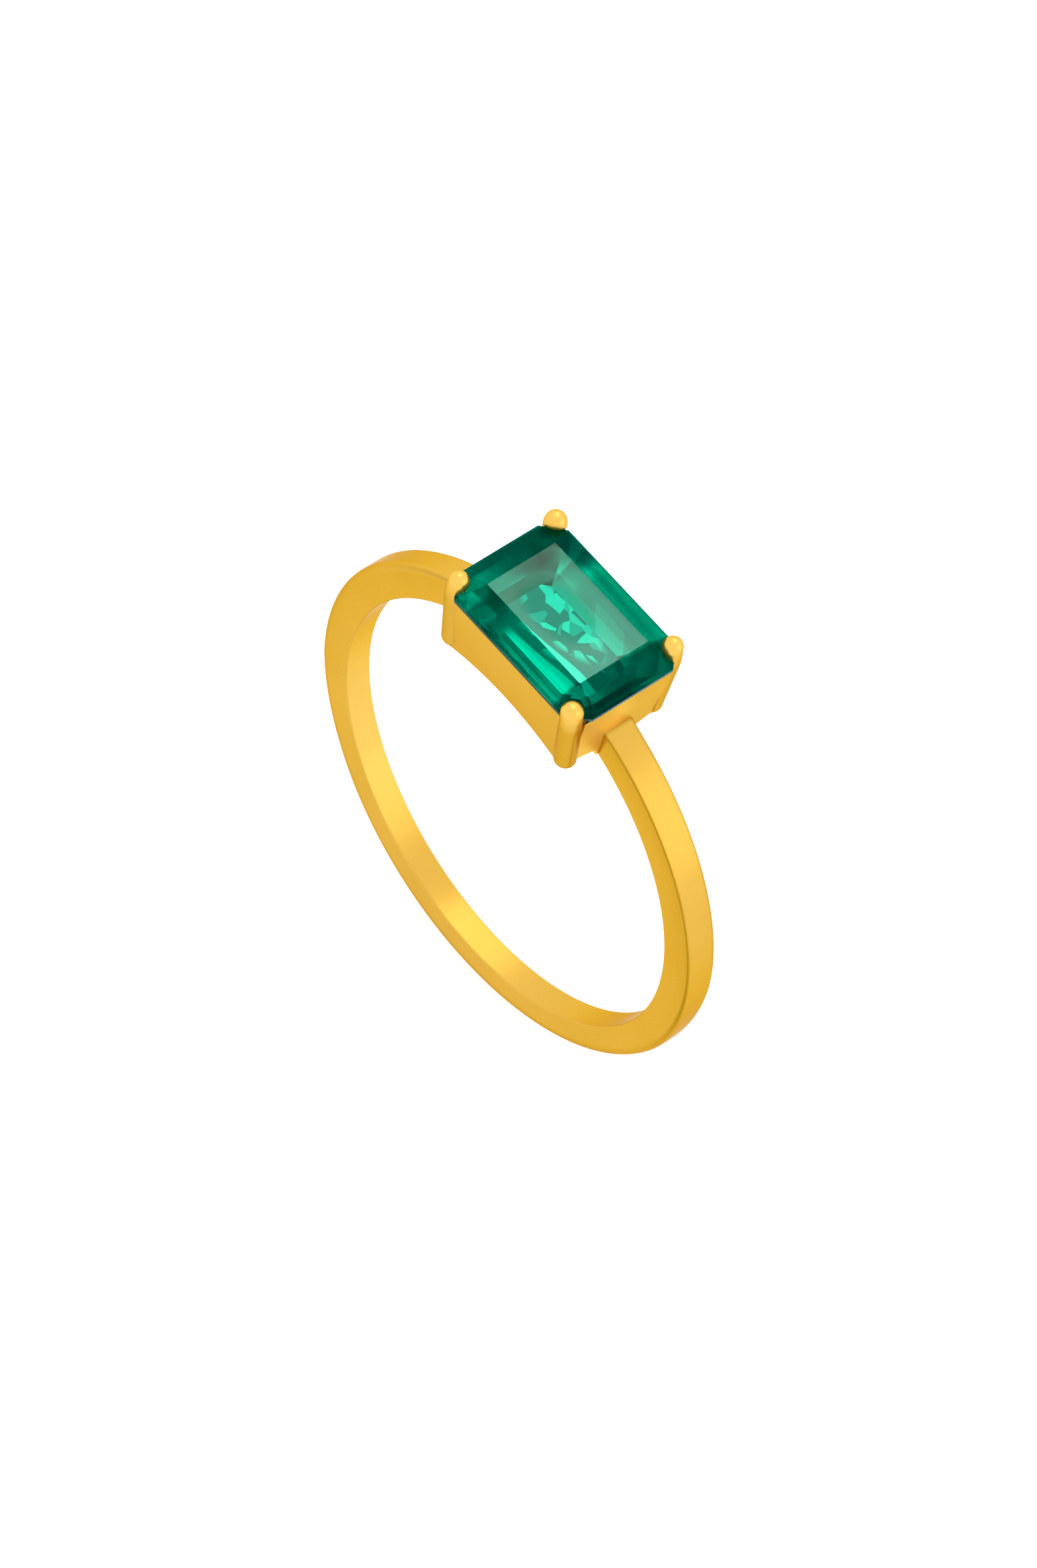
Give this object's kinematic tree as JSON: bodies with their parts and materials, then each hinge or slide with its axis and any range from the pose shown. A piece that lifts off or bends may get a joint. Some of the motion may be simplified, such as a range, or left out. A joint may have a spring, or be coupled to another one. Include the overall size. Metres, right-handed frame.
{
  "type": "cocktail ring",
  "caption": "Slim gold ring holding an oblong step-cut green stone, set sideways in an open-bottomed claw gallery.",
  "frame": {"origin": "centre of the finger hole, midway across the band's width", "axes": "+Y along the finger, +Z from the finger's centre up through the middle of the stone, +X along the stone's long side"},
  "size_m": [0.0192, 0.0054, 0.0213],
  "materials": {
    "gold": "satin-polished yellow gold",
    "gem": "clear polished green, step-cut"
  },
  "bodies": {
    "root": {"shank": "gold", "front_wall": "gold", "back_wall": "gold", "left_end_wall": "gold", "right_end_wall": "gold", "claw_front_left": "gold", "claw_front_right": "gold", "claw_back_left": "gold", "claw_back_right": "gold", "stone": "gem"}
  },
  "joints": []
}
